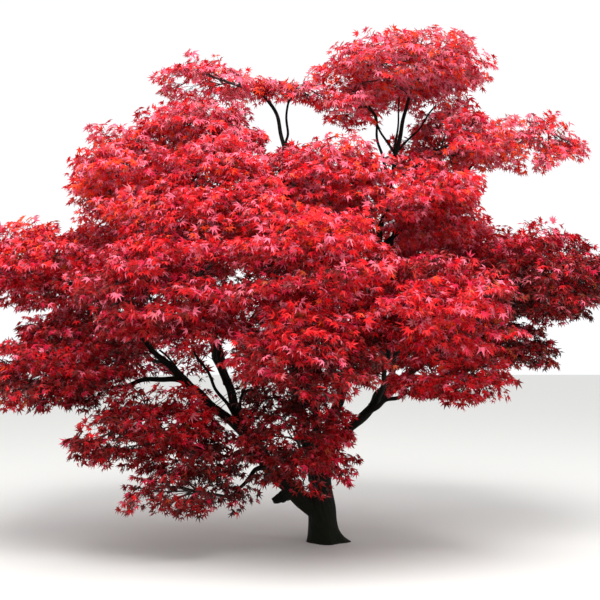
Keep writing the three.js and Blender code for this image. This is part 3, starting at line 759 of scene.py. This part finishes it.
# Where sprays reach out between two masses and close the crown: middle, half sizes, sprays
bridgePlan = (
    ((-0.95, -1.15, 2.68), (0.8, 0.3, 0.13), 48), ((0.62, -0.8, 2.78), (0.22, 0.4, 0.16), 14),
    ((0.0, -1.72, 1.93), (0.85, 0.28, 0.12), 50), ((-1.02, 0.1, 3.68), (0.4, 0.4, 0.1), 26),
    ((-0.42, 0.05, 3.86), (0.24, 0.25, 0.08), 12), ((-1.02, -0.72, 0.77), (0.45, 0.35, 0.1), 34),
)


def bridgeGrowth(middle, half, count):
    # even over the bridge, each spray from the nearest shoot or branch of the masses, hanging a little
    ends = np.array(middle) + ballTargets(count, golden, growthSet["core"], 1) * half
    roots, leaving = grownTo(ends, np.concatenate([shoots, branches]))
    hang = hanging(awayFrom(depthsOf(ends).argmin(axis=0), ends), growthSet["pitch"][0])
    return arched(roots, leaving, ends, hang), hang


growth = [massGrowth(m) for m in range(len(massNames))]
stems = np.stack([one[0] for one in growth])
shoots, branches = (np.concatenate([one[i] for one in growth]) for i in (1, 2))
added = [strayGrowth(name) for name in strayPlan["spans"]] + [bridgeGrowth(*row) for row in bridgePlan]
twigs, along = (np.concatenate([one[i] for one in added] + [one[i + 3] for one in growth]) for i in (0, 1))
massOfSpray = depthsOf(twigs[:, -1]).argmin(axis=0)
print("growth:", len(shoots), "shoots,", len(branches), "branches,", len(twigs), "sprays")


# Sprays: a twig with two pairs of leaves at its end, and two pairs of side twigs with four leaves each

sprayPlan = {
    "stemPairs": ((0.0, 27), (0.05, 60)),  # metres behind the tip, degrees from the twig
    "sidePairs": ((0.09, 46, 0.08), (0.16, 54, 0.105)),  # and the side twig's length
    "sideLeaves": ((1.0, 27), (0.42, 66)),  # share of the side twig, degrees from it
    "sideSpread": (0.75, 1.25),  # of its length
    "sideShake": 6,  # degrees
    "sideSag": 0.1,  # of its length
    "deepest": 0.66,  # share of the twig that may carry leaves
    "fanTilt": 16,  # degrees either way
}


def turned(direction, side, degrees):
    # direction cos(turn) + side sin(turn)
    turn = np.radians(degrees)[..., None] if np.ndim(degrees) else np.radians(degrees)
    return direction * np.cos(turn) + side * np.sin(turn)


sideways = unit(np.cross(up, along))
fanTilt = dice.normal(0, sprayPlan["fanTilt"], len(twigs))
sideways = turned(sideways, np.cross(along, sideways), fanTilt)
twigLength = np.linalg.norm(np.diff(twigs, axis=1), axis=-1).sum(axis=1)


def behindTip(distance):
    # the place on each twig at that distance from its tip, at most the deepest share of the way back
    steps = twigs.shape[1] - 1
    share = np.minimum(distance / twigLength, sprayPlan["deepest"])[:, None] * steps
    low = np.minimum(np.floor(share), steps - 1).astype(int)
    rows = np.arange(len(twigs))[:, None]
    near, far = twigs[rows, steps - low][:, 0], twigs[rows, steps - 1 - low][:, 0]
    return near + (far - near) * (share - low)


leafRoots, leafWays, sideTwigs = [], [], []
for distance, degrees in sprayPlan["stemPairs"]:
    for way in (-1, 1):
        leafRoots.append(behindTip(distance))
        leafWays.append(turned(along, sideways * way, degrees))
for distance, degrees, length in sprayPlan["sidePairs"]:
    for way in (-1, 1):
        root = behindTip(distance)
        lengths = length * dice.uniform(*sprayPlan["sideSpread"], (len(twigs), 1))
        run = turned(along, sideways * way, degrees + dice.normal(0, sprayPlan["sideShake"], len(twigs)))
        end = root + (run - up * sprayPlan["sideSag"]) * lengths
        sideTwigs.append(np.stack([root, end], axis=1))
        across = np.cross(np.cross(along, sideways), run)
        for share, spread in sprayPlan["sideLeaves"]:
            for hand in (-1, 1):
                leafRoots.append(root + (end - root) * share)
                leafWays.append(turned(run, across * hand, spread))
slots = len(leafRoots)
leafRoots, leafWays = np.stack(leafRoots, axis=1), np.stack(leafWays, axis=1)
sideTwigs = np.concatenate(sideTwigs)

# Young maple twigs: smooth red brown skin. It gives the eye thin dark lines between the leaves.
twigSet = {
    "colour": "#2B1512", "roughness": 0.55,
    "stem": (0.013, 0.01, 8), "shoot": (0.0095, 0.0055, 6),  # radii at root and tip, sides
    "branch": (0.0065, 0.0035, 4), "twig": (0.0036, 0.0017, 3),
    "sideTwig": 0.0018,
    "step": 3,  # a spray's twig is drawn through every third point of its curve
}
twigMaterial = newMaterial("youngMapleTwig", {
    "Base Color": linearColour(twigSet["colour"]), "Roughness": twigSet["roughness"],
})


def taperedTubes(paths, kind):
    # tubes whose radius runs evenly from the root's to the tip's
    rootRadius, tipRadius, around = twigSet[kind]
    radii = blendOf(rootRadius, tipRadius, np.linspace(0, 1, paths.shape[1]))
    return sweptTubes(paths, np.repeat(radii[None], len(paths), axis=0), around)


def spikes(paths, radius):
    # three corners round each root and one at the tip
    run = unit(paths[:, 1] - paths[:, 0])
    side = unit(np.cross(run, up) + nudge)
    rim = ringOf(np.array([0, 2, 4]) * np.pi / 3, side, np.cross(side, run))
    corners = np.concatenate([paths[:, :1] + rim * radius, paths[:, 1:]], axis=1)
    faces = np.array([[0, 1, 2], [1, 0, 3], [2, 1, 3], [0, 2, 3]])
    return corners.reshape(-1, 3), repeatedFaces(faces, len(paths), 4)


twigParts = [
    taperedTubes(stems, "stem"), taperedTubes(shoots, "shoot"), taperedTubes(branches, "branch"),
    taperedTubes(twigs[:, ::twigSet["step"]], "twig"),
]
twigPiece = addMesh("fineTwigs", *joinedMesh(twigParts), twigMaterial)
sideTwigPiece = addMesh("sideTwigs", *spikes(sideTwigs, twigSet["sideTwig"]), twigMaterial)
print("twigs:", len(twigPiece.data.polygons), "and", len(sideTwigPiece.data.polygons), "triangles")


# Leaves: seven or five pointed lobes round the petiole's end, folded along their midribs, arched downwards

leafSet = {
    "lobe": 0.053,  # metres, the middle lobe
    "sizeSpread": 0.16,
    "sevenLobed": {  # its base pair is thin
        "tipTurns": (-114, -74, -37, 0, 37, 74, 114),
        "tipReach": (0.44, 0.78, 0.95, 1.0, 0.95, 0.78, 0.44),
        "notchTurns": (-92, -55, -18, 18, 55, 92), "notchReach": (0.27, 0.34, 0.39, 0.39, 0.34, 0.27),
    },
    "fiveLobed": {
        "tipTurns": (-86, -43, 0, 43, 86), "tipReach": (0.68, 0.93, 1.0, 0.93, 0.68),
        "notchTurns": (-63, -21, 21, 63), "notchReach": (0.33, 0.4, 0.4, 0.33),
    },
    "fiveShare": 0.65,
    "arch": 0.22,
    "fold": 0.09,
    "petiole": (0.026, 0.045),
    "petioleWidth": 0.0011,
    "petioleRise": 0.1, "petioleOut": 0.25,
    "outward": 0.15, "droop": 0.3, "shake": 0.4,
    "faceOut": 0.6, "faceUp": 0.75, "faceShake": 0.45,
    "lowest": 0.02,  # metres over the ground
    "hold": 0.95,  # share of the leaves that haven't dropped
    "roughness": 0.42, "specular": 0.35,
    "most": 190000,  # triangles in one piece
}


def leafTemplate(kind):
    # base, then tip and notch in turn: (r sin a, r cos a, fold at notches - arch r^2), and the blade's faces
    lobes = leafSet[kind]
    count = len(lobes["tipTurns"]) + len(lobes["notchTurns"])
    turns, reach, fold = np.empty(count), np.empty(count), np.zeros(count)
    turns[::2], turns[1::2] = lobes["tipTurns"], lobes["notchTurns"]
    reach[::2], reach[1::2] = lobes["tipReach"], lobes["notchReach"]
    fold[1::2] = leafSet["fold"]
    turns = np.radians(turns)
    rim = np.stack([reach * np.sin(turns), reach * np.cos(turns), fold - leafSet["arch"] * reach**2], axis=-1)
    k = np.arange(1, count)
    blades = np.stack([np.zeros(count - 1, int), k + 1, k], axis=-1)
    return np.concatenate([np.zeros((1, 3)), rim]), blades


# A blade's tip goes with its twig, outwards and a little down, and its face turns outwards and up
sprayTips = twigs[:, -1]
outward = awayFrom(massOfSpray, sprayTips)[:, None]
shape = (len(twigs), slots)
tipWay = leafWays + outward * leafSet["outward"] - up * leafSet["droop"]
tipWay = unit(tipWay + dice.normal(0, leafSet["shake"], (*shape, 3)))
facing = outward * leafSet["faceOut"] + up * leafSet["faceUp"]
facing = facing + dice.normal(0, leafSet["faceShake"], (*shape, 3))
facing = unit(facing - (facing * tipWay).sum(-1, keepdims=True) * tipWay)
across = np.cross(tipWay, facing)
stalk = dice.uniform(*leafSet["petiole"], (*shape, 1))
stalkWay = unit(leafWays + up * leafSet["petioleRise"] + outward * leafSet["petioleOut"])
bladeRoots = leafRoots + stalkWay * stalk
size = leafSet["lobe"] * np.exp(dice.normal(0, leafSet["sizeSpread"], (*shape, 1)))
crownLow, crownHigh = np.array(cadBox[0]), np.array(cadBox[1])
farthest = bladeRoots + tipWay * size
kept = ((farthest > crownLow + up * leafSet["lowest"]) & (farthest < crownHigh)).all(axis=-1)
kept &= dice.random(shape) < leafSet["hold"]
five = dice.random(shape) < leafSet["fiveShare"]

# Tints from dark to bright, then the odd ones. A place makes its sprays brighter or darker: slopes and tiers
# of painted light and painted shade, and patches that change at random. Each leaf strays a little.
leafTints = {
    "leavesDarkMaroon": "#3E0703", "leavesMaroon": "#680A07", "leavesDeepCrimson": "#910C0F",
    "leavesCrimson": "#BA0F1A", "leavesScarlet": "#DE1620", "leavesBrightScarlet": "#F23236",
    "leavesOrange": "#F44C22",
    # the pink and the dusty rose tints are a painted sheen
    "leavesCerise": "#CA1C42", "leavesPink": "#EA7088", "leavesRusty": "#A8401A",
    "leavesDustyRose": "#CE6A74",
}
tintSet = {
    "mean": 1.5,  # steps above the darkest tint
    "brightest": 6,
    "patch": 0.7, "stray": 0.9,  # steps
    "waves": ((2.3, 1.1, 0, 0.7), (-1.3, 0, 1.9, 0.4), (5.1, 2.2, -3.7, 0)),  # radians a metre, and shift
    "thirdWave": 0.5,
}
# Slopes of tint, painted light and painted shade: steps, then the axes along which they grow, each from one
# place to another
slopePlan = (
    (0.8, ("up", 0.6, 2.2)), (2.2, ("up", 2.1, 3.0)), (0.8, ("out", 0.45, 0.9)), (-0.5, ("up", 3.3, 3.6)),
    (-1.8, ("right", 1.5, 2.4), ("up", 3.2, 2.6)), (-0.4, ("up", 0.8, 0.5)),
    (0.6, ("up", 0.8, 1.1), ("up", 1.7, 1.4), ("right", -0.7, -1.0)),
    (-0.7, ("up", 1.2, 1.5), ("up", 2.1, 1.8), ("right", -0.8, -0.5), ("right", 0.7, 0.4)),
    (0.7, ("right", 0.2, 0.9), ("back", -0.3, -1.1), ("up", 1.4, 1.8)),
)
# Shaded and sunlit tiers of the crown: middle across and up, half sizes, steps of tint
tierPlan = (
    ((-1.55, 3.15), (0.45, 0.15), -0.9), ((-1.0, 2.72), (0.9, 0.14), 0.8), ((-0.9, 2.45), (1.0, 0.1), 0.7),
    ((0.7, 2.3), (0.35, 0.1), -0.9), ((-0.35, 2.13), (0.65, 0.1), -2.2), ((1.55, 2.0), (0.22, 0.35), -1.9),
    ((-1.85, 1.9), (0.55, 0.15), -1.5), ((0.2, 1.84), (0.8, 0.14), 1.5), ((-0.4, 1.3), (0.3, 0.15), -1.6),
    ((-2.25, 1.3), (0.4, 0.16), -1.9), ((-1.0, 0.65), (0.5, 0.2), -1.2), ((0.02, 2.08), (0.25, 0.08), -1.2),
    ((0.45, 2.08), (0.25, 0.09), 2.2), ((-1.02, 2.73), (0.25, 0.1), -1.6), ((1.3, 1.97), (0.12, 0.15), -1.5),
    ((-1.15, 0.92), (0.3, 0.15), -0.9), ((-1.25, 3.28), (0.25, 0.12), 1.6), ((0.8, 3.28), (0.25, 0.12), 1.5),
)
# Odd tints: the share of leaves that take each, with its slopes, and the tint they must be brighter than. The
# pink and the dusty rose are a painted sheen, more of it higher in the crown.
oddTints = {
    "leavesCerise": (0.13, (), 1),
    "leavesPink": (0.02, ((0.18, ("up", 1.0, 2.0)), (0.22, ("up", 2.4, 3.6))), 2),
    "leavesRusty": (0.01, ((0.07, ("right", 0.5, 2.2), ("up", 2.6, 1.4)),), -1),
    "leavesDustyRose": (0.02, ((0.22, ("up", 2.9, 3.6)),), -1),
}
x, y, z = sprayTips.T
axisOf = {"right": x, "back": y, "up": z, "out": outwardness(sprayTips)}


def sloped(mean, slopes):
    # mean + the sum of steps x the product of a smooth step along each axis, one value a spray
    total = np.full(len(sprayTips), float(mean))
    for steps, *parts in slopes:
        total += steps * np.prod([smoothStep(low, high, axisOf[axis]) for axis, low, high in parts], axis=0)
    return total


# Patches: the first wave times the second, with a share of the third
first, second, third = (np.sin(a * x + b * y + c * z + shift) for a, b, c, shift in tintSet["waves"])
patches = first * second + tintSet["thirdWave"] * third
bright = sloped(tintSet["mean"], slopePlan) + tintSet["patch"] * patches
for (acrossAt, heightAt), (width, rise), steps in tierPlan:
    bright += steps * np.exp(-(((x - acrossAt) / width) ** 2) - ((z - heightAt) / rise) ** 2)
tint = np.round(bright[:, None] + dice.normal(0, tintSet["stray"], shape))
tint = np.clip(tint, 0, tintSet["brightest"]).astype(int)
for name, (mean, slopes, above) in oddTints.items():
    tint[(dice.random(shape) < sloped(mean, slopes)[:, None]) & (tint > above)] = list(leafTints).index(name)


def leavesOf(kind, picked):
    # every corner = blade root + size (u across + v tip way + w facing), and a thin petiole from the twig
    template, blades = leafTemplate(kind)
    u, v, w = template.T[:, None, :, None] * size[picked][None, :, None]
    root = bladeRoots[picked][:, None]
    corners = root + u * across[picked][:, None] + v * tipWay[picked][:, None] + w * facing[picked][:, None]
    node = leafRoots[picked]
    thick = across[picked] * leafSet["petioleWidth"]
    corners = np.concatenate([corners, (node + thick)[:, None], (node - thick)[:, None]], axis=1)
    faces = np.concatenate([blades, [[0, len(template), len(template) + 1]]])
    return corners.reshape(-1, 3), repeatedFaces(faces, *corners.shape[:2])


leafPieces = []
mostTriangles = len(leafTemplate("sevenLobed")[1]) + 1
for i, (name, colour) in enumerate(leafTints.items()):
    # Autumn maple leaf: a thin waxy skin over red flesh. It gives the eye a clear tint with a pale sheen; in
    # the pink and dusty rose tints that sheen is painted into the colour.
    material = newMaterial(name.replace("leaves", "mapleLeaf"), {
        "Base Color": linearColour(colour), "Roughness": leafSet["roughness"],
        "Specular IOR Level": leafSet["specular"],
    })
    spray, slot = np.nonzero(kept & (tint == i))
    order = np.argsort(sprayTips[spray, 0], kind="stable")
    shares = np.array_split(order, -(-len(order) * mostTriangles // leafSet["most"]))
    for k, share in enumerate(shares):
        picked = spray[share], slot[share]
        kinds = (("sevenLobed", ~five[picked]), ("fiveLobed", five[picked]))
        leaves = [leavesOf(kind, (picked[0][chosen], picked[1][chosen])) for kind, chosen in kinds]
        pieceName = name + (f"_{k + 1}" if len(shares) > 1 else "")
        leafPieces.append(addMesh(pieceName, *joinedMesh(leaves), material, smooth=False))
    print(name, len(order), "leaves in", len(shares))
print("leaves:", sum(len(piece.data.polygons) for piece in leafPieces), "triangles")


# What stands for what

foliageNodes = ["foliage_" + name for name in massNames]
limbNodes = ["bough_" + row[0] for row in (stemRow, *boughRows)]
for piece, slot, nodes in (
    (trunkPiece, "bark", ["trunk"]), (boughPiece, "bark", ["trunk", *limbNodes]),
    (twigPiece, "bark", foliageNodes), (sideTwigPiece, "bark", foliageNodes),
    *((piece, "foliage", foliageNodes) for piece in leafPieces),
):
    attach(piece, "root")
    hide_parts(*nodes)


# Studio: a pale floor, a bright even sky, and a large soft light above and in front

studioSet = {
    "floor": "#DDDCD8", "floorHalf": 60.0, "floorRoughness": 0.85,
    "sky": "#F1F2F4", "skyStrength": 1.15,
    "lightSize": 7.0, "lightPower": 1300.0, "lightPlace": (0.3, -5.8, 10.0), "lightAim": (-0.2, 0.0, 2.2),
}
floorMaterial = newMaterial("paleStudioFloor", {
    "Base Color": linearColour(studioSet["floor"]), "Roughness": studioSet["floorRoughness"],
})
half = studioSet["floorHalf"]
floorCorners = np.array([[-half, -half, 0], [half, -half, 0], [half, half, 0], [-half, half, 0]])
addMesh("studioFloor", floorCorners, np.array([[0, 1, 2], [0, 2, 3]]), floorMaterial)

world = bpy.data.worlds.new("softSky")
world.use_nodes = True
setSockets(world.node_tree.nodes["Background"], {
    "Color": linearColour(studioSet["sky"]), "Strength": studioSet["skyStrength"],
})
bpy.context.scene.world = world


def aimed(item, place, aim):
    # stands at place and looks at aim with its top up
    back = unit(np.array(place, float) - np.array(aim, float))
    side = unit(np.cross(up, back))
    over = np.cross(back, side)
    turn = Matrix(np.stack([side, over, back], axis=1).tolist())
    item.matrix_world = Matrix.LocRotScale(Vector(place), turn, None)


lamp = bpy.data.lights.new("softbox", "AREA")
lamp.size, lamp.energy = studioSet["lightSize"], studioSet["lightPower"]
softbox = bpy.data.objects.new("softbox", lamp)
bpy.context.scene.collection.objects.link(softbox)
aimed(softbox, studioSet["lightPlace"], studioSet["lightAim"])

# Camera: at eye height nine metres away, tipped up a little
cameraSet = {"place": (-0.19, -9.0, 1.6), "aim": (-0.19, 0.0, 2.024), "lens": 63.7, "sensor": 36.0}
lens = bpy.data.cameras.new("eyeHeight")
lens.lens, lens.sensor_width = cameraSet["lens"], cameraSet["sensor"]
camera = bpy.data.objects.new("eyeHeight", lens)
bpy.context.scene.collection.objects.link(camera)
aimed(camera, cameraSet["place"], cameraSet["aim"])
bpy.context.scene.camera = camera
bpy.context.scene.view_settings.view_transform = "Standard"
